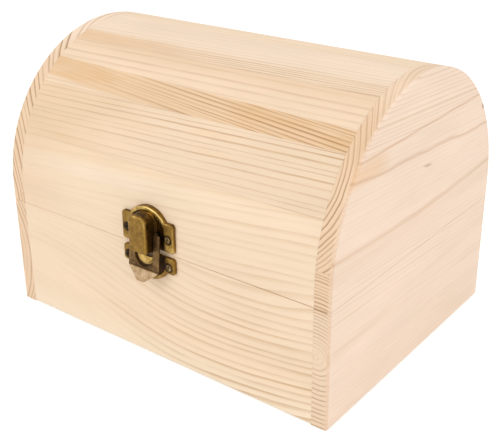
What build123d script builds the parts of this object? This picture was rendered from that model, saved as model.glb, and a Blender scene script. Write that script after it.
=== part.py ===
"""Barrel-top treasure chest box of plain pine, with a hooked front latch and two butt hinges.

Millimetres, +Z up. The origin is the centre of the bottom face, +X runs along the length
of the chest and the latch is on the front, towards -Y.
"""
import os
from math import cos, radians, sin, tan

from build123d import *

os.makedirs("parts", exist_ok=True)

# Chest body: outside sizes, and the saw cut that parts the lid from the base
chest_width = 180.0
chest_depth = 138.0
base_height = 53.6
seam_gap = 0.1
lid_straight_height = 8.3
end_thickness = 7.5
board_thickness = 7.0
edge_break = 0.6
seam_ease = 0.15

# Bottom panel of thin plywood, let into a rebate all round
bottom_thickness = 3.0
rebate_depth = 3.5
panel_clearance = 0.1

# Glue joints of the barrel top, as angles round the arch from the front to the back
half_turn_angle = 180.0
stave_joint_angles = [22.0, 43.6, 66.9, 90.0, 113.1, 136.4, 158.0]

# Latch plates, pressed from thin brass: both have two ears and an arched tongue
latch_offset = -1.0
latch_width = 29.4
plate_sheet = 0.8
plate_raise = 1.7
plate_edge_break = 0.5
plate_arch_radius = 12.3
rim_width = 2.0
rim_angle = 25.0
ear_width = 6.4
ear_corner = 1.6
dish_width = 18.4
upper_plate_rise = 1.55
upper_plate_height = 18.5
upper_ear_height = 13.4
lower_plate_drop = 0.85
lower_plate_height = 12.9
lower_ear_height = 7.6
seat_clearance = 0.05
skirt_depth = 1.6

# Tower of the upper plate, a hollow pressing that carries the hasp
tower_width = 9.8
tower_height = 16.4
tower_reach = 8.3
tower_shoulder = 3.4
tower_edge_round = 1.3
tower_wall = 0.8

# Catch of the lower plate, a hollow half-round nose that is open at its top
catch_radius = 4.8
catch_drop = 0.6
catch_depth = 3.3
catch_edge_round = 1.5
catch_hollow_radius = 3.7
catch_wall = 0.7

# Hasp, a forked plate that swings on a pin through the tower and ends in a flared lip
hasp_width = 17.2
hasp_sheet = 0.65
hasp_side_gap = 0.3
hasp_face_gap = 0.15
hasp_top_rise = 0.5
hasp_bend = 1.0
hasp_corner = 0.8
catch_clearance = 0.25
window_below_catch = 0.35
bar_height = 1.2
lip_drop = 5.2
lip_flare_angle = 26.0
lip_tip_width = 6.2
lip_tip_round_drop = 1.0
lug_radius = 1.0

# Pivot pin of the hasp
pivot_rise = 7.1
pivot_out = 2.1
pivot_radius = 0.5
pivot_end_proud = 0.1

# Running fit of a pin in a turning hole, and tight fit of a pin or screw in a fixed one
running_clearance = 0.05
tight_clearance = 0.02

# Latch screws
screw_spacing = 23.0
upper_screw_rise = 6.2
lower_screw_drop = 4.4
screw_head_radius = 2.0
screw_shank_radius = 1.0
screw_length = 5.6
screw_seat_clearance = 0.06
countersink_angle = 90.0
cross_length = 2.3
cross_width = 0.4
cross_depth = 0.7
upper_cross_angles = [25.0, 58.0]
lower_cross_angles = [8.0, 40.0]

# Butt hinges on the back
hinge_spacing = 96.0
hinge_length = 18.0
leaf_height = 8.0
leaf_thickness = 0.8
leaf_corner = 1.4
knuckle_radius = 1.5
knuckle_clearance = 0.3
knuckle_end_gap = 0.2
lid_knuckle_length = 7.0
hinge_pin_radius = 0.8
hinge_pin_proud = 0.3

# Hinge brads, with square shanks and flat round heads
brad_spacing = 11.0
brad_reach = 5.2
brad_width = 1.0
brad_length = 5.0
brad_head_radius = 1.3
brad_head_height = 0.4

# One overrun lets every cut pass clear of the face it starts or ends at
overrun = 1.0

# Sizes that follow from those above
arch_radius = chest_depth / 2
shell_inner_radius = arch_radius - board_thickness
board_length = chest_width - 2 * end_thickness
front_y = -chest_depth / 2
back_y = chest_depth / 2
seam_middle = base_height + seam_gap / 2
lid_bottom = base_height + seam_gap
spring_height = lid_bottom + lid_straight_height

upper_edge_z = seam_middle + upper_plate_rise
lower_edge_z = seam_middle - lower_plate_drop
upper_screw_z = upper_edge_z + upper_screw_rise
lower_screw_z = lower_edge_z - lower_screw_drop
pivot_z = upper_edge_z + pivot_rise
tower_top_z = upper_edge_z + tower_height
catch_top_z = lower_edge_z - catch_drop
catch_reach = plate_sheet + catch_depth

window_half = tower_width / 2 + hasp_side_gap
window_bottom_z = catch_top_z - catch_radius - window_below_catch
fold_z = window_bottom_z - bar_height
lip_tip_z = fold_z - lip_drop
hasp_top_z = pivot_z + hasp_top_rise
hasp_top_out = pivot_out + pivot_radius + hasp_face_gap
bar_out = catch_reach + catch_clearance
lip_tip_out = bar_out + lip_drop * tan(radians(lip_flare_angle))

hinge_axis_y = back_y + knuckle_radius + knuckle_clearance
hinge_axis_z = seam_middle
hinge_centres = [-hinge_spacing / 2, hinge_spacing / 2]
base_brad_z = hinge_axis_z - brad_reach
lid_brad_z = hinge_axis_z + brad_reach
screw_hole_depth = screw_length + tight_clearance
brad_hole_width = brad_width + 2 * tight_clearance
brad_hole_depth = brad_length + tight_clearance

latch_plane = Plane(origin=(latch_offset, front_y, 0), x_dir=(1, 0, 0), z_dir=(0, -1, 0))
back_plane = Plane(origin=(0, back_y, 0), x_dir=(-1, 0, 0), z_dir=(0, 1, 0))
latch_side_plane = Plane.YZ.offset(latch_offset)


def save(piece, name):
    """Label one finished piece and write it."""
    piece.part.label = name
    export_step(piece.part, f"parts/{name}.step")


def latch_screw_points(height):
    """The two places of the latch screws at one height, in the latch plane."""
    return [(-screw_spacing / 2, height), (screw_spacing / 2, height)]


def brad_points(height):
    """The places of the hinge brads at one height, in the back plane."""
    points = []
    for centre in hinge_centres:
        points.append((centre - brad_spacing / 2, height))
        points.append((centre + brad_spacing / 2, height))
    return points


def screw_hole_outline(height):
    """Round pilot holes of the two latch screws at one height."""
    with BuildSketch() as outline:
        with Locations(*latch_screw_points(height)):
            Circle(screw_shank_radius + tight_clearance)
    return outline.sketch


def brad_hole_outline(height):
    """Square pilot holes of the four hinge brads at one height."""
    with BuildSketch() as outline:
        with Locations(*brad_points(height)):
            Rectangle(brad_hole_width, brad_hole_width)
    return outline.sketch


def base_board(name, side, plane, holes, hole_depth):
    """Front or back board of the base, with the rebate of the bottom panel and pilot holes."""
    board_y = side * (back_y - board_thickness / 2)
    rebate_y = side * (back_y - board_thickness + rebate_depth / 2)
    with BuildPart() as board:
        with BuildSketch(Plane.XY):
            with Locations((0, board_y)):
                Rectangle(board_length, board_thickness)
        extrude(amount=base_height)
        outer_face = board.faces().sort_by(Axis.Y)[0 if side < 0 else -1]
        chamfer(outer_face.edges().sort_by(Axis.Z)[0], length=edge_break)
        chamfer(outer_face.edges().sort_by(Axis.Z)[-1], length=seam_ease)
        with BuildSketch(Plane.XY):
            with Locations((0, rebate_y)):
                Rectangle(board_length, rebate_depth)
        extrude(amount=bottom_thickness + panel_clearance, mode=Mode.SUBTRACT)
        with BuildSketch(plane):
            add(holes)
        extrude(amount=-hole_depth, mode=Mode.SUBTRACT)
    save(board, name)


def base_end(name, side):
    """End panel of the base: it runs the full depth and covers the ends of both boards."""
    panel_x = side * (chest_width - end_thickness) / 2
    rebate_x = side * (board_length / 2 + rebate_depth / 2)
    with BuildPart() as panel:
        with BuildSketch(Plane.XY):
            with Locations((panel_x, 0)):
                Rectangle(end_thickness, chest_depth)
        extrude(amount=base_height)
        outer_face = panel.faces().sort_by(Axis.X)[0 if side < 0 else -1]
        chamfer(outer_face.edges().sort_by(Axis.Z)[:-1], length=edge_break)
        with BuildSketch(Plane.XY):
            with Locations((rebate_x, 0)):
                Rectangle(rebate_depth, chest_depth - 2 * (board_thickness - rebate_depth))
        extrude(amount=bottom_thickness + panel_clearance, mode=Mode.SUBTRACT)
    save(panel, name)


def bottom_panel():
    """Plywood bottom, flush with the lower edges of the walls."""
    length = board_length + 2 * (rebate_depth - panel_clearance)
    depth = 2 * (shell_inner_radius + rebate_depth - panel_clearance)
    with BuildPart() as panel:
        with BuildSketch(Plane.XY):
            Rectangle(length, depth)
        extrude(amount=bottom_thickness)
    save(panel, "base_bottom_panel")


def lid_end(name, side):
    """Arched end panel of the lid."""
    inner_x = side * board_length / 2
    with BuildPart() as panel:
        with BuildSketch(Plane.YZ.offset(inner_x)):
            with BuildLine():
                left = Line((front_y, lid_bottom), (front_y, spring_height))
                arch = CenterArc((0, spring_height), arch_radius, half_turn_angle, -half_turn_angle)
                right = Line(arch @ 1, (back_y, lid_bottom))
                Line(right @ 1, left @ 0)
            make_face()
        extrude(amount=side * end_thickness)
        outer_face = panel.faces().sort_by(Axis.X)[0 if side < 0 else -1]
        chamfer(outer_face.edges().sort_by(Axis.Z)[1:], length=edge_break)
    save(panel, name)


def arch_point(radius, angle):
    """A point of the arch in the YZ plane, with the angle counted up from the front."""
    return (-radius * cos(radians(angle)), spring_height + radius * sin(radians(angle)))


def stave(number):
    """One stave of the barrel top: sanded round outside, flat inside, with bevelled edges."""
    start = stave_joint_angles[number - 1]
    end = stave_joint_angles[number]
    with BuildPart() as piece:
        with BuildSketch(Plane.YZ):
            with BuildLine():
                outside = CenterArc((0, spring_height), arch_radius, half_turn_angle - start,
                                    start - end)
                inner_end = arch_point(shell_inner_radius, end)
                inner_start = arch_point(shell_inner_radius, start)
                Line(outside @ 1, inner_end)
                Line(inner_end, inner_start)
                Line(inner_start, outside @ 0)
            make_face()
        extrude(amount=board_length / 2, both=True)
    save(piece, f"lid_stave_{number}")


def lid_rail(name, side, plane, holes, hole_depth):
    """Front or back rail of the lid: straight up from the seam, then the first of the arch."""
    joint_angle = stave_joint_angles[0] if side < 0 else half_turn_angle - stave_joint_angles[-1]
    start_angle = half_turn_angle if side < 0 else 0
    joint_y, joint_z = arch_point(shell_inner_radius, joint_angle)
    inner_corner = (-side * joint_y, joint_z)
    inner_spring = (side * shell_inner_radius, spring_height)
    inner_bottom = (side * shell_inner_radius, lid_bottom)
    outer_bottom = (side * arch_radius, lid_bottom)
    with BuildPart() as rail:
        with BuildSketch(Plane.YZ):
            with BuildLine():
                straight = Line(outer_bottom, (side * arch_radius, spring_height))
                outside = CenterArc((0, spring_height), arch_radius, start_angle, side * joint_angle)
                Line(outside @ 1, inner_corner)
                Line(inner_corner, inner_spring)
                Line(inner_spring, inner_bottom)
                Line(inner_bottom, straight @ 0)
            make_face()
        extrude(amount=board_length / 2, both=True)
        bottom_face = rail.faces().sort_by(Axis.Z)[0]
        chamfer(bottom_face.edges().sort_by(Axis.Y)[0 if side < 0 else -1], length=seam_ease)
        with BuildSketch(plane):
            add(holes)
        extrude(amount=-hole_depth, mode=Mode.SUBTRACT)
    save(rail, name)


def plate_outline(direction, edge_z, plate_height, ear_height):
    """Outline of a latch plate: an arched tongue between two ears, flat on the seam side."""
    arch_centre = edge_z + direction * (plate_height - plate_arch_radius)
    ear_x = (latch_width - ear_width) / 2
    ear_z = edge_z + direction * ear_height / 2
    with BuildSketch() as outline:
        with Locations((0, arch_centre)):
            Circle(plate_arch_radius)
        with Locations((0, edge_z + direction * plate_height / 2)):
            Rectangle(latch_width, plate_height, mode=Mode.INTERSECT)
        with Locations((-ear_x, ear_z), (ear_x, ear_z)):
            RectangleRounded(ear_width, ear_height, ear_corner)
        with Locations((0, ear_z)):
            Rectangle(latch_width - ear_width, ear_height)
    return outline.sketch


def dish_outline(direction, edge_z, plate_height):
    """The sunk field of a latch plate: it follows the arch and runs out at the seam side."""
    arch_centre = edge_z + direction * (plate_height - plate_arch_radius)
    field_height = plate_height + overrun
    with BuildSketch() as outline:
        with Locations((0, arch_centre)):
            Circle(plate_arch_radius - rim_width)
        with Locations((0, arch_centre - direction * field_height / 2)):
            Rectangle(dish_width, field_height)
        with Locations((0, edge_z + direction * plate_height / 2)):
            Rectangle(dish_width, plate_height + 2 * overrun, mode=Mode.INTERSECT)
    return outline.sketch


def latch_holes(height):
    """Countersunk holes of the latch screws."""
    with Locations(latch_plane.offset(plate_raise)):
        with Locations(*latch_screw_points(height)):
            CounterSinkHole(
                radius=screw_shank_radius + screw_seat_clearance,
                counter_sink_radius=screw_head_radius + screw_seat_clearance,
                depth=plate_raise + overrun,
                counter_sink_angle=countersink_angle,
            )


def tower_outline(half_width, top_z, bottom_z, shoulder):
    """Front outline of the tower, square at its foot and rounded at its head."""
    with BuildSketch() as outline:
        with BuildLine():
            Polyline((-half_width, top_z - shoulder), (-half_width, bottom_z),
                     (half_width, bottom_z), (half_width, top_z - shoulder))
            RadiusArc((-half_width, top_z - shoulder), (-half_width + shoulder, top_z), shoulder)
            RadiusArc((half_width - shoulder, top_z), (half_width, top_z - shoulder), shoulder)
            Line((-half_width + shoulder, top_z), (half_width - shoulder, top_z))
        make_face()
    return outline.sketch


def upper_plate():
    """Upper latch plate with the hollow tower; its back follows the curve of the lid."""
    outline = plate_outline(1, upper_edge_z, upper_plate_height, upper_ear_height)
    dish = dish_outline(1, upper_edge_z, upper_plate_height)
    tower = tower_outline(tower_width / 2, tower_top_z, upper_edge_z, tower_shoulder)
    hollow = tower_outline(tower_width / 2 - tower_wall, tower_top_z - tower_wall,
                           upper_edge_z - overrun, tower_shoulder - tower_wall)
    with BuildPart() as plate:
        with BuildSketch(latch_plane):
            add(outline)
        extrude(amount=plate_raise)
        front = plate.faces().sort_by(Axis.Y)[0]
        chamfer(front.edges(), length=plate_edge_break)
        with BuildSketch(latch_plane.offset(plate_sheet)):
            add(dish)
        extrude(amount=plate_raise, taper=-rim_angle, mode=Mode.SUBTRACT)
        with BuildSketch(latch_plane):
            add(outline)
            with Locations((0, spring_height - chest_depth / 2)):
                Rectangle(chest_width, chest_depth, mode=Mode.SUBTRACT)
        extrude(amount=-skirt_depth)
        with BuildSketch(latch_side_plane):
            with Locations((0, spring_height)):
                Circle(arch_radius + seat_clearance)
        extrude(amount=latch_width, both=True, mode=Mode.SUBTRACT)
        with BuildSketch(latch_plane):
            add(tower)
        extrude(amount=tower_reach)
        tower_front = plate.faces().sort_by(Axis.Y)[0]
        fillet(tower_front.edges().sort_by(Axis.Z)[1:], radius=tower_edge_round)
        with BuildSketch(latch_plane.offset(-skirt_depth)):
            add(hollow)
        extrude(amount=skirt_depth + tower_reach - tower_wall, mode=Mode.SUBTRACT)
        latch_holes(upper_screw_z)
        with BuildSketch(latch_side_plane):
            with Locations((front_y - pivot_out, pivot_z)):
                Circle(pivot_radius + tight_clearance)
        extrude(amount=tower_width, both=True, mode=Mode.SUBTRACT)
    save(plate, "latch_upper_plate")


def catch_profile():
    """Half section of the catch: its wall, the rounding over its edge and its nose."""
    wall_end = (catch_radius, catch_depth - catch_edge_round)
    nose_start = (catch_radius - catch_edge_round, catch_depth)
    with BuildSketch() as profile:
        with BuildLine():
            Polyline((0, catch_depth), (0, 0), (catch_radius, 0), wall_end)
            RadiusArc(wall_end, nose_start, -catch_edge_round)
            Line(nose_start, (0, catch_depth))
        make_face()
    return profile.sketch


def lower_plate():
    """Lower latch plate with its catch, a hollow half-round nose that is open at the top."""
    catch_plane = Plane(
        origin=(latch_offset, front_y - plate_sheet, catch_top_z),
        x_dir=(1, 0, 0),
        z_dir=(0, 0, -1),
    )
    catch_axis = Axis((latch_offset, front_y, catch_top_z), (0, 1, 0))
    outline = plate_outline(-1, lower_edge_z, lower_plate_height, lower_ear_height)
    dish = dish_outline(-1, lower_edge_z, lower_plate_height)
    nose = catch_profile()
    with BuildPart() as plate:
        with BuildSketch(latch_plane):
            add(outline)
        extrude(amount=plate_raise)
        front = plate.faces().sort_by(Axis.Y)[0]
        chamfer(front.edges(), length=plate_edge_break)
        with BuildSketch(latch_plane.offset(plate_sheet)):
            add(dish)
        extrude(amount=plate_raise, taper=-rim_angle, mode=Mode.SUBTRACT)
        with BuildSketch(catch_plane):
            add(nose)
        revolve(axis=catch_axis, revolution_arc=half_turn_angle)
        with BuildSketch(latch_plane):
            with Locations((0, catch_top_z)):
                Circle(catch_hollow_radius)
                Rectangle(
                    2 * catch_hollow_radius,
                    catch_hollow_radius,
                    align=(Align.CENTER, Align.MIN),
                    mode=Mode.SUBTRACT,
                )
        extrude(amount=catch_reach - catch_wall, mode=Mode.SUBTRACT)
        latch_holes(lower_screw_z)
    save(plate, "latch_lower_plate")


def hasp():
    """Forked hasp with two lugs on the pivot pin, a window over the catch and a flared lip."""
    reach = lip_tip_out + 2 * hasp_sheet
    lug_x = window_half
    half = hasp_width / 2
    tip_half = lip_tip_width / 2
    shoulder_z = lip_tip_z + lip_tip_round_drop
    with BuildPart() as fork:
        with BuildSketch(latch_side_plane):
            with BuildLine():
                FilletPolyline(
                    (front_y - hasp_top_out, hasp_top_z),
                    (front_y - bar_out, fold_z),
                    (front_y - lip_tip_out, lip_tip_z),
                    radius=hasp_bend,
                )
                offset(amount=hasp_sheet, side=Side.RIGHT)
            make_face()
        extrude(amount=half, both=True)
        with BuildSketch(latch_plane) as front:
            with BuildLine():
                Polyline((-tip_half, shoulder_z), (-half, fold_z), (-half, hasp_top_z),
                         (half, hasp_top_z), (half, fold_z), (tip_half, shoulder_z))
                ThreePointArc((tip_half, shoulder_z), (0, lip_tip_z), (-tip_half, shoulder_z))
            make_face()
            with Locations((0, window_bottom_z + window_half)):
                Circle(window_half, mode=Mode.SUBTRACT)
            with Locations((0, window_bottom_z + window_half + pivot_z / 2)):
                Rectangle(2 * window_half, pivot_z, mode=Mode.SUBTRACT)
            arm_corners = front.vertices().group_by(Axis.Y)[-1].sort_by(Axis.X)
            fillet([arm_corners[0], arm_corners[-1]], radius=hasp_corner)
        extrude(amount=reach, mode=Mode.INTERSECT)
        for side in (-1, 1):
            with BuildSketch(Plane.YZ.offset(latch_offset + side * lug_x)):
                with Locations((front_y - pivot_out, pivot_z)):
                    Circle(lug_radius)
                with BuildLine():
                    Polyline(
                        (front_y - pivot_out, pivot_z - lug_radius),
                        (front_y - pivot_out, hasp_top_z),
                        (front_y - hasp_top_out - hasp_sheet / 2, hasp_top_z),
                        (front_y - hasp_top_out - hasp_sheet / 2, pivot_z - 2 * lug_radius),
                        close=True,
                    )
                make_face()
            extrude(amount=side * hasp_sheet)
        with BuildSketch(latch_side_plane):
            with Locations((front_y - pivot_out, pivot_z)):
                Circle(pivot_radius + running_clearance)
        extrude(amount=window_half + hasp_sheet + pivot_end_proud, both=True, mode=Mode.SUBTRACT)
    save(fork, "latch_hasp")


def pivot_pin():
    """Wire pin through the tower and both lugs of the hasp."""
    half = window_half + hasp_sheet + pivot_end_proud
    with BuildPart() as pin:
        with BuildSketch(latch_side_plane):
            with Locations((front_y - pivot_out, pivot_z)):
                Circle(pivot_radius)
        extrude(amount=half, both=True)
    save(pin, "latch_pivot_pin")


def screws(name, height, turn_angles):
    """Two countersunk cross-head latch screws at one height."""
    neck = plate_raise - (screw_head_radius - screw_shank_radius)
    with BuildPart() as pair:
        for point, turn_angle in zip(latch_screw_points(height), turn_angles):
            centre = latch_plane.from_local_coords((point[0], point[1], 0))
            with BuildSketch(Plane(origin=centre, x_dir=(1, 0, 0), z_dir=(0, 0, -1))):
                with BuildLine():
                    Polyline(
                        (0, plate_raise),
                        (0, -screw_length),
                        (screw_shank_radius, -screw_length),
                        (screw_shank_radius, neck),
                        (screw_head_radius, plate_raise),
                        close=True,
                    )
                make_face()
            revolve(axis=Axis(centre, latch_plane.z_dir))
            top = Plane(origin=centre, x_dir=(1, 0, 0), z_dir=(0, -1, 0)).offset(plate_raise)
            with BuildSketch(top.rotated((0, 0, turn_angle))):
                Rectangle(cross_length, cross_width)
                Rectangle(cross_width, cross_length)
            extrude(amount=-cross_depth, mode=Mode.SUBTRACT)
    save(pair, name)


def brads(name, height):
    """Four hinge brads at one height: square shanks and flat round heads on the leaves."""
    leaf_face = back_plane.offset(leaf_thickness)
    with BuildPart() as group:
        with BuildSketch(back_plane.offset(-brad_length)):
            with Locations(*brad_points(height)):
                Rectangle(brad_width, brad_width)
        extrude(amount=brad_length + leaf_thickness)
        with Locations(leaf_face):
            with Locations(*brad_points(height)):
                Cylinder(
                    radius=brad_head_radius,
                    height=brad_head_height,
                    align=(Align.CENTER, Align.CENTER, Align.MIN),
                )
    save(group, name)


def hinge_leaf(name, centre, direction, knuckles, bore_clearance):
    """One hinge leaf: direction is -1 for the base leaf, hanging down, and 1 for the lid leaf."""
    leaf_gap = knuckle_radius + knuckle_clearance
    leaf_middle = hinge_axis_z + direction * (leaf_gap + leaf_height) / 2
    with BuildPart() as leaf:
        with BuildSketch(back_plane):
            with Locations((-centre, leaf_middle)):
                Rectangle(hinge_length, leaf_height - leaf_gap)
        extrude(amount=leaf_thickness)
        corners = leaf.edges().filter_by(Axis.Y).group_by(Axis.Z)[0 if direction < 0 else -1]
        chamfer(corners, length=leaf_corner)
        for start, length in knuckles:
            with BuildSketch(Plane.YZ.offset(centre + start)):
                with Locations((hinge_axis_y, hinge_axis_z)):
                    Circle(knuckle_radius)
                with Locations((back_y + leaf_thickness / 2, hinge_axis_z + direction * leaf_gap / 2)):
                    Rectangle(leaf_thickness, leaf_gap)
            extrude(amount=length)
        with BuildSketch(Plane.YZ.offset(centre)):
            with Locations((hinge_axis_y, hinge_axis_z)):
                Circle(hinge_pin_radius + bore_clearance)
        extrude(amount=hinge_length, both=True, mode=Mode.SUBTRACT)
        with BuildSketch(back_plane):
            with Locations((-centre, hinge_axis_z + direction * brad_reach)):
                with GridLocations(brad_spacing, 0, 2, 1):
                    Rectangle(brad_hole_width, brad_hole_width)
        extrude(amount=leaf_thickness, mode=Mode.SUBTRACT)
    save(leaf, name)


def hinge_pin(name, centre):
    """Hinge pin, tight in the base leaf and free in the lid leaf."""
    with BuildPart() as pin:
        with BuildSketch(Plane.YZ.offset(centre)):
            with Locations((hinge_axis_y, hinge_axis_z)):
                Circle(hinge_pin_radius)
        extrude(amount=hinge_length / 2 + hinge_pin_proud, both=True)
    save(pin, name)


def hinges():
    """Two butt hinges: two knuckles on each base leaf and one between them on the lid leaf."""
    outer_length = (hinge_length - lid_knuckle_length) / 2 - knuckle_end_gap
    base_knuckles = [
        (-hinge_length / 2, outer_length),
        (hinge_length / 2 - outer_length, outer_length),
    ]
    lid_knuckles = [(-lid_knuckle_length / 2, lid_knuckle_length)]
    for side, centre in zip(("left", "right"), hinge_centres):
        hinge_leaf(f"hinge_{side}_base_leaf", centre, -1, base_knuckles, tight_clearance)
        hinge_leaf(f"hinge_{side}_lid_leaf", centre, 1, lid_knuckles, running_clearance)
        hinge_pin(f"hinge_{side}_pin", centre)


# Base
base_board("base_front_board", -1, latch_plane, screw_hole_outline(lower_screw_z),
           screw_hole_depth)
base_board("base_back_board", 1, back_plane, brad_hole_outline(base_brad_z), brad_hole_depth)
base_end("base_left_end", -1)
base_end("base_right_end", 1)
bottom_panel()

# Lid
lid_end("lid_left_end", -1)
lid_end("lid_right_end", 1)
lid_rail("lid_front_rail", -1, latch_plane, screw_hole_outline(upper_screw_z), screw_hole_depth)
lid_rail("lid_back_rail", 1, back_plane, brad_hole_outline(lid_brad_z), brad_hole_depth)
for stave_number in range(1, len(stave_joint_angles)):
    stave(stave_number)

# Latch
upper_plate()
lower_plate()
hasp()
pivot_pin()
screws("latch_upper_screws", upper_screw_z, upper_cross_angles)
screws("latch_lower_screws", lower_screw_z, lower_cross_angles)

# Hinges
hinges()
brads("hinge_base_brads", base_brad_z)
brads("hinge_lid_brads", lid_brad_z)
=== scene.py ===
"""Looks of the barrel-top treasure chest box: bare pine, plywood and antique brass.

Inside the materials every length is in millimetres, in the chest's own frame: x along the
front, y towards the hinges and z up.
"""

from math import cos, radians, sin

import bpy
from mathutils import Matrix, Vector

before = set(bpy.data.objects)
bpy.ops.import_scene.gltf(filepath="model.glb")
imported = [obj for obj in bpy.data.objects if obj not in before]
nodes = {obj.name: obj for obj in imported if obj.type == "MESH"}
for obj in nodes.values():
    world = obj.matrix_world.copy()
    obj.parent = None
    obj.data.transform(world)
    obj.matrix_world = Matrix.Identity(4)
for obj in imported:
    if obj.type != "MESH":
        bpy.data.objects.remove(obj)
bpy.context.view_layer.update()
scene = bpy.context.scene

# Places on the chest that the looks are laid out by, in millimetres
ARCH = 69.0  # radius of the barrel top, which is half of the depth
SPRING = 62.0  # where the front turns into the arch
SEAM = 53.65  # middle of the gap between base and lid
FRONT = -69.0  # outer face of the front boards
LATCH = -1.0  # middle of the latch along the front
SCREW_ASIDE = 11.5  # middle of a latch screw, from the middle of the latch
UPPER_SCREWS = 61.4  # their height
LOWER_SCREWS = 48.4
HEART = (32.6, 84.0)  # pith of the lower board of the right end: height, and x
PLY = 1.0  # thickness of one layer of the plywood

EVENLY_WORN = 0.45  # share of bare metal on brass whose wear isn't laid out
MM_PER_METRE = 1000.0
WHITE = (1.0, 1.0, 1.0, 1.0)
MIX_FACTOR, MIX_FIRST, MIX_SECOND, MIX_RESULT = 0, 6, 7, 2  # colour sockets of a Mix node


def srgb(red, green, blue):
    """A colour given as 0 to 255 screen values, as linear light."""
    out = []
    for level in (red, green, blue):
        part = level / 255
        out.append(part / 12.92 if part <= 0.04045 else ((part + 0.055) / 1.055) ** 2.4)
    return (*out, 1.0)


class Term:
    """A number or a shader socket that can be added, multiplied and shaped like a number."""

    def __init__(self, graph, value):
        self.graph, self.value = graph, value

    def node(self, operation, *others):
        """This Term, and the others if any, put through one Math node."""
        return self.graph.math(operation, self, *others)

    def __add__(self, other):
        return self.node("ADD", other)

    def __sub__(self, other):
        return self.node("SUBTRACT", other)

    def __rsub__(self, other):
        return self.graph.math("SUBTRACT", other, self)

    def __mul__(self, other):
        return self.node("MULTIPLY", other)

    def __truediv__(self, other):
        return self.node("DIVIDE", other)

    def __abs__(self):
        return self.node("ABSOLUTE")

    def step(self, low, high):
        """0 below low, 1 above high, smooth between; low above high turns it round."""
        inputs = {"Value": self, "From Min": low, "From Max": high}
        return self.graph.add("MapRange", inputs, interpolation_type="SMOOTHSTEP")

    def bump(self, centre, width):
        """1 at the centre, falling to 0 at that distance from it."""
        return abs(self - centre).step(width, 0)

    def clamp(self):
        """Held between 0 and 1."""
        return self.node("MAXIMUM", 0).node("MINIMUM", 1)


def length(first, second):
    """The distance from 0 to the point (first, second)."""
    return (first * first + second * second).node("SQRT")


class Graph:
    """The shader of one material or world, written with Terms."""

    def __init__(self, owner):
        owner.use_nodes = True
        self.owner, self.tree = owner, owner.node_tree
        self.tree.nodes.clear()
        self.cache = {}

    def put(self, socket, value):
        """Give an input a number, a colour, a socket or a Term."""
        if isinstance(value, Term):
            value = value.value
        if isinstance(value, bpy.types.NodeSocket):
            self.tree.links.new(value, socket)
        else:
            socket.default_value = value

    def add(self, kind, inputs, output=0, **settings):
        """A new shader node; returns the named or numbered output."""
        node = self.tree.nodes.new("ShaderNode" + kind)
        for key, value in settings.items():
            setattr(node, key, value)
        for key, value in inputs.items():
            self.put(node.inputs[key], value)
        return Term(self, node.outputs[output]) if node.outputs else None

    def math(self, operation, *values):
        """The result of one Math node."""
        return self.add("Math", dict(enumerate(values)), operation=operation)

    def vector(self, x, y, z):
        """Three numbers as one vector or colour."""
        return self.add("CombineXYZ", {0: x, 1: y, 2: z})

    def noise(self, x, y, z, detail=2.0, roughness=0.5):
        """Smooth noise from about -0.5 to 0.5; a coordinate of 1 is the size of its grains."""
        inputs = {"Vector": self.vector(x, y, z), "Scale": 1.0, "Detail": detail,
                  "Roughness": roughness}
        return self.add("TexNoise", inputs) - 0.5

    def mix(self, factor, first, second, blend="MIX"):
        """The first colour with the second blended over it by the factor."""
        inputs = {MIX_FACTOR: factor, MIX_FIRST: first, MIX_SECOND: second}
        return self.add("Mix", inputs, MIX_RESULT, data_type="RGBA", blend_type=blend)

    def coordinate(self, output, scale):
        """An output of the texture coordinate node times the scale, as x, y, z; made once."""
        if output not in self.cache:
            split = self.tree.nodes.new("ShaderNodeSeparateXYZ")
            self.put(split.inputs[0], self.add("TexCoord", {}, output))
            self.cache[output] = [Term(self, socket) * scale for socket in split.outputs]
        return self.cache[output]

    def place(self):
        """The point in the chest's own frame, in millimetres, as x, y, z."""
        return self.coordinate("Object", MM_PER_METRE)

    def facing(self):
        """The surface direction in the chest's own frame, as x, y, z."""
        return self.coordinate("Normal", 1.0)

    def unrolled(self):
        """Height up the front and on round the arch, and depth below the outer face."""
        _, y, z = self.place()
        rise = z - SPRING
        turned = rise.node("ARCTAN2", 0 - y) * ARCH + SPRING
        over = z.step(SPRING - 0.01, SPRING)
        height = turned * over + z * (1 - over)
        return height, (ARCH - length(y, rise)) * over + (y + ARCH) * (1 - over)

    def seen(self):
        """1 where the camera sees it, straight or in a mirror or through glass; else 0."""
        ray = self.tree.nodes.new("ShaderNodeLightPath")
        straight = Term(self, ray.outputs["Is Camera Ray"])
        mirrored = straight.node("MAXIMUM", ray.outputs["Is Glossy Ray"])
        return mirrored.node("MAXIMUM", ray.outputs["Is Transmission Ray"])

    def finish(self, colour, roughness, height, height_mm, soft_mm, specular=0.5, metallic=0.0):
        """Close the material with its surface, softened edges and relief."""
        soft = self.add("Bevel", {"Radius": soft_mm / MM_PER_METRE}, samples=6)
        relief = self.add("Bump", {"Strength": 1.0, "Distance": height_mm / MM_PER_METRE,
                                   "Height": height, "Normal": soft})
        surface = self.add("BsdfPrincipled", {
            "Base Color": colour, "Roughness": roughness, "Metallic": metallic,
            "Specular IOR Level": specular, "Normal": relief})
        self.add("OutputMaterial", {"Surface": surface})
        return self.owner


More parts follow.
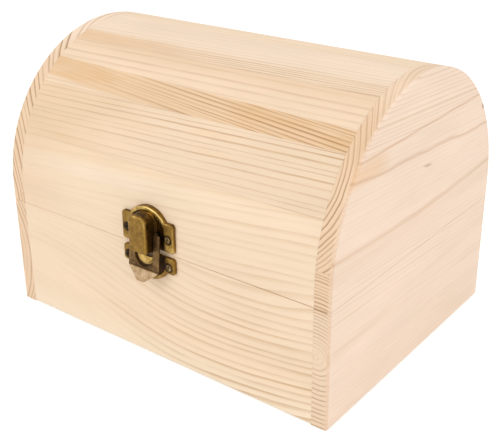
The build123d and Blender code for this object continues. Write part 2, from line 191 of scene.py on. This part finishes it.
def rings(graph, along, across, depth, pith, spacing, warp, fade, even=0.4):
    """Growth rings round the pith: how dark the late wood is, from 0 to 1.

    warp makes the rings wander, fade is where in a ring its late wood begins, and even is the
    least share that a weak ring keeps.
    """
    low = graph.noise(along / 95, across / 26, depth / 26)
    fine = graph.noise(along / 22, across / 5, depth / 5)
    radius = length(across - pith[0], depth - pith[1]) + low * 5.0 * warp + fine * 1.4 * warp
    uneven = graph.add("TexNoise", {"W": radius / (spacing * 3.1), "Scale": 1.0, "Detail": 1.0},
                       noise_dimensions="1D") - 0.5
    number = radius / spacing + uneven * 1.2
    part = number.node("FRACT")
    ring = number.node("FLOOR")
    late = part.step(fade, 0.9) * part.step(1.0, 0.93)
    strength = graph.add("TexWhiteNoise", {"W": ring}, noise_dimensions="1D")
    broken = graph.noise(along / 30, ring * 3.7, 0.0, 1.0) * 1.6
    return late * (strength * (1 - even) + broken + even).clamp()


def board(pith, spacing, warp, fade):
    """The late wood of a plain board, for pine."""
    def late_wood(graph, along, across, depth):
        return rings(graph, along, across, depth, pith, spacing, warp, fade)
    return late_wood


def fibres(graph, along, across, depth):
    """Fine fibres about 0, and short resin dashes from 0 to 1, along the grain."""
    thin = graph.noise(along / 16, across / 0.32, depth / 0.32, 3.0, 0.6)
    dash = graph.noise(along / 7, across / 0.5, depth / 0.5, 1.0).step(0.17, 0.3)
    return thin, dash


def pine(name, grain, layout, late_wood, pale, line, contrast, extra=None,
         end_tint=srgb(247, 237, 224)):
    """Bare pine with its grain along the axis of that name.

    layout gives along, across and depth, late_wood the dark lines, line their colour, and
    contrast their strength. extra reshapes the pale tone and the amount of line.
    """
    graph = Graph(bpy.data.materials.new(name))
    along, across, depth = layout(graph)
    late = late_wood(graph, along, across, depth)
    thin, dash = fibres(graph, along, across, depth)
    broad = graph.noise(along / 60, across / 14, depth / 14)
    amount = late * contrast
    if extra:
        pale, amount = extra(graph, along, across, depth, pale, amount)
    end = abs(graph.facing()["XYZ".index(grain)]).step(0.25, 0.75)
    amount = (amount + end * late * 0.2).clamp()
    colour = graph.mix(amount, pale, line)
    colour = graph.mix(end, colour, end_tint, "MULTIPLY")
    shade = thin * 0.16 + broad * 0.16 - dash * 0.05 + 1.0
    warmth = graph.vector(shade, shade, shade + broad * 0.05)
    colour = graph.mix(1.0, colour, warmth, "MULTIPLY")
    height = thin * 0.7 - dash * 0.5 - late * 0.25
    roughness = thin * 0.25 + 0.62
    return graph.finish(colour, roughness, height, 0.05, soft_mm=0.25, specular=0.3)


def front_layout(slope=0.0, bow=None):
    """A board along X on the front, the arch or the back; its lines climb by the slope."""
    def layout(graph):
        x = graph.place()[0]
        height, depth = graph.unrolled()
        across = height - x * slope
        if bow:
            across = across - bow(x, height)
        return x, across, depth
    return layout


def end_layout(graph):
    """An end panel along Y; its lines fall slightly towards the back."""
    x, y, z = graph.place()
    return y, z + (y + ARCH) * 0.012, x


def front_bow(x, height):
    """The sweep of the grain on the front board: high at the left, lowest right of the latch."""
    trough = (height * 0.5 + 16.5).node("MINIMUM", 40.0)
    past = x - trough
    left = past.step(0.0, -115.0) * 19.0
    right = past.node("MAXIMUM", 0.0)
    rise = x * 0.09 * height.step(44.0, 62.0)
    return (left + right * right * 0.0019) * height.step(72.0, 46.0) + rise


def front_extra(graph, along, across, depth, pale, amount):
    """Base board and front rail: lines strongest low at the right, bands of tone, and painted
    shade along the gap between lid and base.
    """
    x, _, z = graph.place()
    height = graph.unrolled()[0]
    right = x.step(-60.0, 70.0)
    low = height.step(62.0, 18.0)
    corner = (height + x * 0.4).step(-6.0, 8.0) * 0.9 + 0.1
    amount = amount * (right * 0.75 + 0.25) * (low * 0.65 + 0.45) * corner
    climbing = height - x * 0.035
    white = climbing.bump(80.0, 6.0) * x.step(40.0, -20.0)
    wedge = climbing.step(84.0, 86.5)
    dull = x.step(-38.0, -88.0) * height.step(44.0, 60.0)
    foot = height.step(16.0, 2.0)
    tone = graph.mix(white * 0.5, pale, srgb(249, 229, 206))
    tone = graph.mix(wedge * 0.5, tone, srgb(241, 212, 176))
    tone = graph.mix(dull * 0.5, tone, srgb(233, 202, 168))
    tone = graph.mix(foot * 0.5, tone, srgb(251, 235, 212))
    # painted shade: a thin dark line along the gap between lid and base
    painted_seam_shade = z.bump(SEAM, 0.45) * x.step(-20.0, 60.0)
    return tone, (amount + painted_seam_shade * 0.6).clamp()


def stave_one_extra(graph, along, across, depth, pale, amount):
    """Orange blotches, tan towards the left, and lines strongest at the upper right."""
    x = graph.place()[0]
    blotch = graph.noise(x / 45, across / 5, 0.0).step(0.05, 0.3)
    amount = amount * (x.step(-95, 50) * 0.6 + 0.4) * (across.step(96.0, 104.0) * 0.5 + 0.5)
    tone = graph.mix(blotch * 0.6, pale, srgb(239, 205, 164))
    return graph.mix(x.step(0.0, -75.0) * 0.55, tone, srgb(232, 199, 160)), amount


def stave_two_extra(graph, along, across, depth, pale, amount):
    """The lower part of this stave is a dark orange band of close lines."""
    x = graph.place()[0]
    height = graph.unrolled()[0]
    uneven = graph.noise(x / 25, height / 6, 0.0)
    top = (height + x * 0.025 + uneven * 0.8).step(127.0, 126.4)
    start = (-10.0 - x).node("MAXIMUM", 0.0) * 0.065 + 113.4
    band = top * (height - start + uneven * 2.0).step(-1.2, 1.2)
    tan = (uneven + x.bump(-8.0, 50.0) * 0.6).step(-0.2, 0.35)
    tone = graph.mix(band, pale, graph.mix(tan, srgb(231, 192, 148), srgb(236, 203, 166)))
    tone = graph.mix(height.step(132.0, 141.5) * 0.5, tone, srgb(232, 199, 162))
    fine = rings(graph, along, height + x * 0.09, depth, pith=(-60.0, 10.0), spacing=1.7,
                 warp=0.2, fade=0.4)
    dark = fine * (x.step(-85.0, 60.0) + 0.12)
    return tone, amount * (1 - band) * 0.6 + band * dark


def stave_three_extra(graph, along, across, depth, pale, amount):
    """A few close dark lines run along the lower edge of this stave."""
    x = graph.place()[0]
    height = graph.unrolled()[0]
    uneven = graph.noise(x / 25, height / 6, 0.0)
    band = (height + uneven * 2.5).step(151.5, 148.5)
    right = x.step(-75.0, 30.0)
    tone = graph.mix(band * (0.95 - right * 0.75), pale, srgb(234, 199, 161))
    fine = rings(graph, along, height - x * 0.03, depth, pith=(-60.0, 10.0), spacing=1.5,
                 warp=0.15, fade=0.35)
    near = height.step(156.0, 145.0)
    return tone, (amount + near * fine * (right * 0.6 + 0.1)).clamp()


def right_end_extra(graph, along, across, depth, pale, amount):
    """The broad face has soft dark lines, an orange patch, a knot and a mark.

    The strip of end grain beside the front is paler low down, and has close rings on its crest.
    """
    x, y, z = graph.place()
    outer = x.step(88.0, 89.5)
    wave = graph.noise(y / 30, z / 40, 0.0)
    upper = (z + y * -0.012 + wave * 1.5).bump(108.6, 0.9)
    middle = (z + y * 0.07 + wave * 5.0).bump(97.3, 1.3)
    lower = (z - y * y * 0.0006 + wave * 2.0).bump(71.0, 2.0)
    broad = graph.noise(y / 80, z / 5, 0.0).step(0.02, 0.3) * z.step(62.0, 45.0)
    fine = rings(graph, y, z + (y + ARCH) * 0.06, x, pith=(-40.0, 60.0), spacing=1.9,
                 warp=0.35, fade=0.5)
    fine = fine * (z.step(104.0, 112.0) * 0.25 + z.bump(52.0, 12.0) * 0.12 + 0.14)
    below = z.bump(67.0, 7.0) * 0.1 + z.bump(33.0, 5.0) * y.step(0.0, -60.0) * 0.14
    lines = upper * 0.5 + middle * 0.45 + lower * 0.36 + broad * 0.14 + below + fine
    patch = y.step(-26.0, -40.0) * z.bump(103.4, 5.8).node("POWER", 0.5)
    knot = y.bump(3.0, 5.4) * (z + y * 0.15).bump(90.6, 1.0) * 0.64
    mark = y.bump(54.6, 1.6) * z.bump(103.0, 2.6)
    face = graph.mix(patch * 0.9, srgb(250, 225, 203), srgb(243, 208, 172))
    face = graph.mix(lines.clamp(), face, srgb(212, 168, 124))

    low = z.step(54.0, 50.0)
    crest = z.step(99.0, 114.0)
    strip = graph.mix(low, pale, srgb(248, 228, 207))
    strip = graph.mix(crest, strip, srgb(243, 214, 184))
    close = rings(graph, along, across, depth, pith=(100.0, 61.0), spacing=0.9, warp=0.35,
                  fade=0.4, even=0.65)
    # painted shade: a dark line along the gap between lid and base, except on the rim
    painted_seam_shade = z.bump(SEAM - 0.15, 0.5) * 0.7
    rim = abs(graph.facing()[2]).step(0.6, 0.9) * z.step(60.0, 57.0)
    ends = amount * (1.0 - low * 0.35) * (1.0 - rim * 0.6) * (1.0 - crest * 0.6)
    ends = ends + painted_seam_shade * (1.0 - rim) + close * crest * 0.24
    amount = ends * (1 - outer) + knot * outer + mark * 1.3
    return graph.mix(outer, strip, face), amount.clamp()


def right_end_rings(graph, along, across, depth):
    """Two boards glued edge to edge make the right end, each with its own pith."""
    upper = across.step(69.0, 69.4)
    centre = (upper * 67.4 + HEART[0], upper * -23.0 + HEART[1])
    spacing = across.step(33.0, 32.2) * 0.7 + upper * 0.3 + 1.5
    late = rings(graph, along, across, depth, centre, spacing, warp=0.35, fade=0.5, even=0.65)
    from_heart = length(across - HEART[0], depth - HEART[1])
    return late * (from_heart.step(3.0, 10.0) * 0.7 + 0.3)


def left_end_extra(graph, along, across, depth, pale, amount):
    """The rings show clearly on the end grain, and softly on the broad faces."""
    broad = abs(graph.facing()[0]).step(0.5, 0.9)
    return graph.mix(broad, pale, srgb(249, 224, 200)), amount * (1.0 - broad * 0.72)


materials = {
    "front": pine(
        "pine_front", "X", front_layout(bow=front_bow),
        board((-46.0, 34.0), spacing=3.3, warp=0.4, fade=0.4),
        pale=srgb(246, 221, 191), line=srgb(206, 168, 122), contrast=0.76, extra=front_extra),
    "stave_1": pine(
        "pine_stave_1", "X", front_layout(slope=0.03),
        board((-30.0, 12.0), spacing=2.55, warp=0.32, fade=0.62),
        pale=srgb(240, 214, 184), line=srgb(196, 156, 114), contrast=0.95,
        extra=stave_one_extra),
    "stave_2": pine(
        "pine_stave_2", "X", front_layout(slope=0.01),
        board((0.0, 20.0), spacing=3.6, warp=0.4, fade=0.5),
        pale=srgb(242, 215, 185), line=srgb(186, 142, 96), contrast=0.5, extra=stave_two_extra),
    "stave_3": pine(
        "pine_stave_3", "X", front_layout(slope=0.02),
        board((20.0, 30.0), spacing=2.0, warp=0.25, fade=0.5),
        pale=srgb(244, 221, 195), line=srgb(190, 148, 106), contrast=0.25,
        extra=stave_three_extra),
    "back": pine(
        "pine_back", "X", front_layout(slope=0.02),
        board((-30.0, 180.0), spacing=3.4, warp=0.8, fade=0.35),
        pale=srgb(246, 221, 192), line=srgb(216, 176, 130), contrast=0.6),
}
for number, slope, contrast, spacing in (
        (4, 0.01, 0.35, 3.2), (5, -0.02, 0.6, 2.6), (6, 0.015, 0.45, 3.8)):
    materials[f"stave_{number}"] = pine(
        f"pine_stave_{number}", "X", front_layout(slope=slope),
        board((120.0 - 9.0 * number, 60.0), spacing=spacing, warp=0.5, fade=0.5),
        pale=srgb(245, 220, 190), line=srgb(206, 164, 118), contrast=contrast)
for key, late_wood, contrast, extra in (
        ("right_lid", right_end_rings, 0.7, right_end_extra),
        ("right_base", right_end_rings, 0.7, right_end_extra),
        ("left_lid", board((51.0, -139.0), spacing=2.4, warp=0.3, fade=0.5), 0.85,
         left_end_extra),
        ("left_base", board((25.0, -140.0), spacing=2.6, warp=0.5, fade=0.5), 0.55,
         left_end_extra)):
    materials[key] = pine(
        f"pine_{key}_end", "Y", end_layout, late_wood, pale=srgb(245, 220, 194),
        line=srgb(172, 134, 94), contrast=contrast, extra=extra, end_tint=srgb(248, 240, 229))


def plywood():
    """Bare plywood: plain faces, and layers that show at its edges."""
    graph = Graph(bpy.data.materials.new("plywood_bottom"))
    x, y, z = graph.place()
    layer = (z / PLY).node("FLOOR").node("MODULO", 2.0)
    wide = graph.noise(x / 90, y / 9, 0.0, 3.0)
    thin = graph.noise(x / 14, y / 0.4, z / 0.4, 3.0, 0.6)
    edge = abs(graph.facing()[2]).step(0.7, 0.3)
    colour = graph.mix((wide * 2.4 + 0.45).clamp(), srgb(238, 208, 170), srgb(224, 186, 140))
    colour = graph.mix(edge * layer, colour, srgb(176, 132, 90))
    shade = thin * 0.2 + 1.0
    colour = graph.mix(1.0, colour, graph.vector(shade, shade, shade), "MULTIPLY")
    return graph.finish(colour, thin * 0.3 + 0.66, thin, 0.05, soft_mm=0.2, specular=0.3)


def brass(name, dark, mid, bright, wear=None, brushed=0.0, roughness=0.36, cloud_mm=3.2):
    """Antique brass: a brown patina over worn metal. wear gives the share of bare metal."""
    graph = Graph(bpy.data.materials.new(name))
    x, y, z = graph.place()
    cloud = graph.noise(x / cloud_mm, y / cloud_mm, z / cloud_mm, 4.0, 0.6)
    speck = graph.noise(x / 0.55, y / 0.55, z / 0.55, 2.0, 0.6)
    scratch = graph.noise(x / 0.18, y / 0.3, z / 3.5, 2.0, 0.6)
    share = wear(graph, x, y, z) if wear else Term(graph, EVENLY_WORN)
    share = (share + cloud * 0.8 + speck * 0.35 + scratch * brushed).clamp()
    colour = graph.mix(share.step(0.0, 0.55), dark, mid)
    colour = graph.mix(share.step(0.45, 1.0), colour, bright)
    rough = (roughness + 0.14) - share * 0.2 + speck * 0.18 + scratch * 0.2 * brushed
    height = speck * 0.5 + cloud * 0.5 + scratch * brushed
    return graph.finish(colour, rough, height, 0.03, soft_mm=0.35, metallic=1.0)


def from_screw(x, z):
    """Distance from the middle of the nearest latch screw."""
    aside = abs(x - LATCH) - SCREW_ASIDE
    level = abs(z - UPPER_SCREWS).node("MINIMUM", abs(z - LOWER_SCREWS))
    return length(aside, level)


def latch_wear(graph, x, y, z):
    """Bare metal on the raised rims, the tower and the catch, dark patina down in the field, and
    painted light: highlights on the upper right rim, on turned edges and low on the ears, shade on
    the rims low down, and lifted side walls.
    """
    out = FRONT - y
    facing = graph.facing()[1] * -1.0
    ear = abs(x - LATCH).step(9.0, 9.6)
    rim = out.step(1.0, 1.65) * out.step(2.4, 1.9) * (1.0 - ear * 0.35)
    # painted shade: the rims low down, under the hasp, are darker
    rim = rim * (z.step(50.0, 56.0) * 0.35 + 0.65)
    # painted highlight along the upper right of the arch rim
    crown = rim * (z - x * 0.4).step(64.0, 69.0) * x.step(-6.0, 2.0)
    # painted highlight on surfaces turned partly away from the front, strongest high up, as on the
    # tower's rounded edge
    edge = facing.bump(0.72, 0.3) * (z.step(54.0, 66.0) * 0.6 + 0.4)
    head = out.step(6.0, 8.0) * (z.bump(65.0, 2.2) * -0.3 + 1.0)
    catch = z.step(52.5, 51.9) * out.step(1.6, 3.0)
    # painted light: the side walls, which face away from the front, are lifted out of their shade
    painted_wall_light = facing.step(0.4, 0.1) * out.step(3.0, 2.0)
    # painted highlight: the ears lighter towards the bottom, most at the foot of the upper right
    # ear
    low = ear * (z.step(60.0, 50.0) + z.bump(57.0, 5.0) * x.step(0.0, 8.0) * 1.8 - 0.25)
    field = out.step(1.3, 0.9) * facing.step(0.5, 0.9)
    seat = from_screw(x, z).step(2.6, 2.1) * out.step(0.5, 1.4)
    return (rim * 0.52 + crown * 0.34 + edge * 0.16 + head * 0.32 + catch * 0.56 + painted_wall_light * 0.26
            + low * 0.12 - field * 0.2 - seat * 0.3 + 0.12)


def screw_wear(graph, x, y, z):
    """The crown is bare between the dark cross and the dark edge of the head; the screws left of
    the tower carry painted shade.
    """
    crown = from_screw(x, z).step(1.9, 1.2) * (FRONT - y).step(1.4, 1.65)
    # painted shade: the crowns of the left screws are darker, as in the tower's shade
    return crown * (x.step(-9.0, 6.0) * 0.48 + 0.1)


def hasp_wear(graph, x, y, z):
    """The arms are dull with a painted highlight low down, the foot of the fork is darker, painted
    shade lies along the crease above the lip, and the flared lip is rubbed bare.
    """
    lip = z.step(46.4, 45.4)
    # painted shade along the crease above the lip
    painted_fold_shade = z.bump(46.2, 0.8)
    # painted highlight: the arms lighter low down
    painted_arm_highlight = z.step(59.0, 53.0) * abs(x - LATCH).step(4.5, 5.5) * (1.0 - lip)
    bar = z.step(49.6, 47.8) * (1.0 - lip)
    return lip * 0.56 - painted_fold_shade * 0.24 + painted_arm_highlight * 0.14 - bar * 0.1 + 0.2


materials["plywood"] = plywood()
materials["latch"] = brass("latch_brass", srgb(62, 42, 18), srgb(142, 109, 50),
                           srgb(226, 194, 118), latch_wear)
materials["hasp"] = brass("hasp_brass_brushed", srgb(74, 54, 32), srgb(138, 108, 68),
                          srgb(204, 176, 142), hasp_wear, brushed=0.35)
materials["screw"] = brass("screw_brass_dark", srgb(34, 24, 14), srgb(104, 82, 48),
                           srgb(206, 180, 130), screw_wear, cloud_mm=1.6)
materials["hinge"] = brass("hinge_brass_leaf", srgb(66, 46, 22), srgb(150, 116, 58),
                           srgb(222, 188, 116))
materials["pin"] = brass("pin_wire", srgb(70, 62, 52), srgb(128, 118, 100),
                         srgb(186, 178, 160), brushed=0.3, roughness=0.3)

dress = {
    "base_front_board": "front", "lid_front_rail": "front",
    "base_back_board": "back", "lid_back_rail": "back",
    "base_left_end": "left_base", "lid_left_end": "left_lid",
    "base_right_end": "right_base", "lid_right_end": "right_lid",
    "base_bottom_panel": "plywood",
    "latch_upper_plate": "latch", "latch_lower_plate": "latch",
    "latch_hasp": "hasp", "latch_pivot_pin": "pin",
    "latch_upper_screws": "screw", "latch_lower_screws": "screw",
}
for number in range(1, 7):
    dress[f"lid_stave_{number}"] = f"stave_{number}"
for name in nodes:
    if name.startswith("hinge_"):
        dress[name] = "pin" if name.endswith("pin") else "hinge"
for name, node in nodes.items():
    node.data.materials.clear()
    node.data.materials.append(materials[dress[name]])

# Floor, world and lamps, in metres and watts
FLOOR_HALF = 6
FLOOR_LEVEL = -0.0002
FLOOR_GREY = 0.93  # shade of its plain paint
FLOOR_LIFT = 0.31  # light of its own, so that it looks white where no shadow falls
SKY = 0.74  # light that the white world gives; it looks pure white itself


def floor_white():
    """White floor: plain diffuse paint, lifted to pure white where the camera sees it unshaded."""
    graph = Graph(bpy.data.materials.new("floor_white"))
    paint = graph.add("BsdfDiffuse", {"Color": (FLOOR_GREY, FLOOR_GREY, FLOOR_GREY, 1.0)})
    lift = graph.add("Emission", {"Color": WHITE, "Strength": graph.seen() * FLOOR_LIFT})
    graph.add("OutputMaterial", {"Surface": graph.add("AddShader", {0: paint, 1: lift})})
    return graph.owner


floor_mesh = bpy.data.meshes.new("floor")
corners = [(-FLOOR_HALF, -FLOOR_HALF, 0), (FLOOR_HALF, -FLOOR_HALF, 0),
           (FLOOR_HALF, FLOOR_HALF, 0), (-FLOOR_HALF, FLOOR_HALF, 0)]
floor_mesh.from_pydata(corners, [], [(0, 1, 2, 3)])
floor_mesh.materials.append(floor_white())
floor = bpy.data.objects.new("floor", floor_mesh)
floor.location = (0, 0, FLOOR_LEVEL)
scene.collection.objects.link(floor)

scene.world = bpy.data.worlds.new("studio")
studio = Graph(scene.world)
sky = studio.add("Background", {"Color": WHITE, "Strength": SKY})
backdrop = studio.add("Background", {"Color": WHITE, "Strength": 1.0})
shown = studio.add("MixShader", {0: studio.seen(), 1: sky, 2: backdrop})
studio.add("OutputWorld", {"Surface": shown})


def lamp(name, place, target, side, power):
    """A square lamp that faces the target."""
    light = bpy.data.lights.new(name, "AREA")
    light.shape = "RECTANGLE"
    light.size = light.size_y = side
    light.energy = power
    holder = bpy.data.objects.new(name, light)
    holder.location = place
    towards = Vector(target) - Vector(place)
    holder.rotation_euler = towards.to_track_quat("-Z", "Y").to_euler()
    scene.collection.objects.link(holder)


lamp("key", (-0.55, -1.15, 0.85), (0, 0, 0.06), 0.6, 3.8)
lamp("side", (1.3, -0.5, 0.8), (0, 0, 0.06), 0.8, 3.8)
lamp("top", (0.1, 0.3, 1.5), (0, 0, 0.05), 1.2, 2.5)

# Camera at the photograph's angle, fitted to the chest's edges and corners
PHOTO_WIDTH = 497.0
FOCAL_PIXELS = 912.7
SHIFT_PIXELS = -20.0
SENSOR = 36.0
CAMERA_PLACE = (0.24476, -0.31997, 0.22925)
azimuth, elevation, roll = radians(37.54), radians(23.56), radians(-0.41)
forward = Vector((-sin(azimuth) * cos(elevation), cos(azimuth) * cos(elevation),
                  -sin(elevation)))
level = forward.cross(Vector((0, 0, 1))).normalized()
upright = level.cross(forward)
right = level * cos(roll) + upright * sin(roll)
up = upright * cos(roll) - level * sin(roll)
camera_data = bpy.data.cameras.new("camera")
camera_data.sensor_width = SENSOR
camera_data.lens = FOCAL_PIXELS * SENSOR / PHOTO_WIDTH
camera_data.shift_y = SHIFT_PIXELS / PHOTO_WIDTH
camera_data.clip_start = 0.01
camera = bpy.data.objects.new("camera", camera_data)
turn = Matrix((right, up, -forward)).transposed().to_4x4()
camera.matrix_world = Matrix.Translation(CAMERA_PLACE) @ turn
scene.collection.objects.link(camera)
scene.camera = camera
scene.view_settings.view_transform = "Standard"
